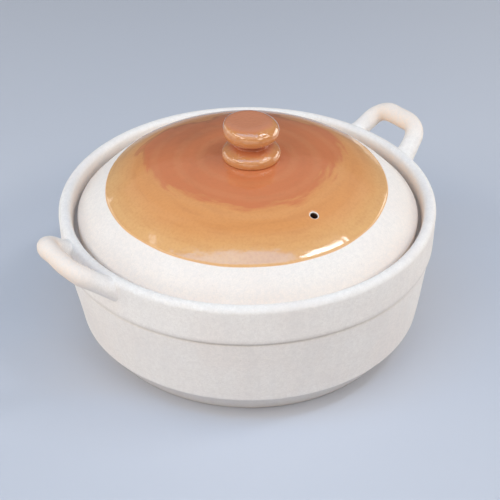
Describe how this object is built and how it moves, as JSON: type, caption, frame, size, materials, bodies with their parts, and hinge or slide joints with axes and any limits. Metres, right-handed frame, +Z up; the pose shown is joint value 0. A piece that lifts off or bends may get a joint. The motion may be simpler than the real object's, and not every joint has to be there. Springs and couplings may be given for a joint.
{
  "type": "sand pot",
  "caption": "Round stoneware cooking pot with loop handles, a bevelled foot and a loose domed lid with an amber-glazed crown, a mushroom knob and a steam vent.",
  "frame": {"origin": "centre of the flat base", "axes": "+Z up along the pot's axis, +X towards the right handle"},
  "size_m": [0.286, 0.24, 0.1446],
  "materials": {
    "stoneware": "matte, fine-grained cream stoneware",
    "amber_glaze": "glossy amber glaze, redder where it is thin",
    "lining_glaze": "glossy pale lining glaze"
  },
  "bodies": {
    "pot": {"pot_body": "stoneware", "right_handle": "stoneware", "left_handle": "stoneware", "bowl_glaze": "lining_glaze"},
    "lid": {"lid_dome": "stoneware", "lid_knob": "stoneware", "knob_glaze": "amber_glaze", "crown_glaze": "amber_glaze"}
  },
  "joints": [
    {"name": "lid_lift", "type": "slide", "parent": "pot", "child": "lid", "axis": [0, 0, 1], "range_m": [0, 0.15]}
  ]
}
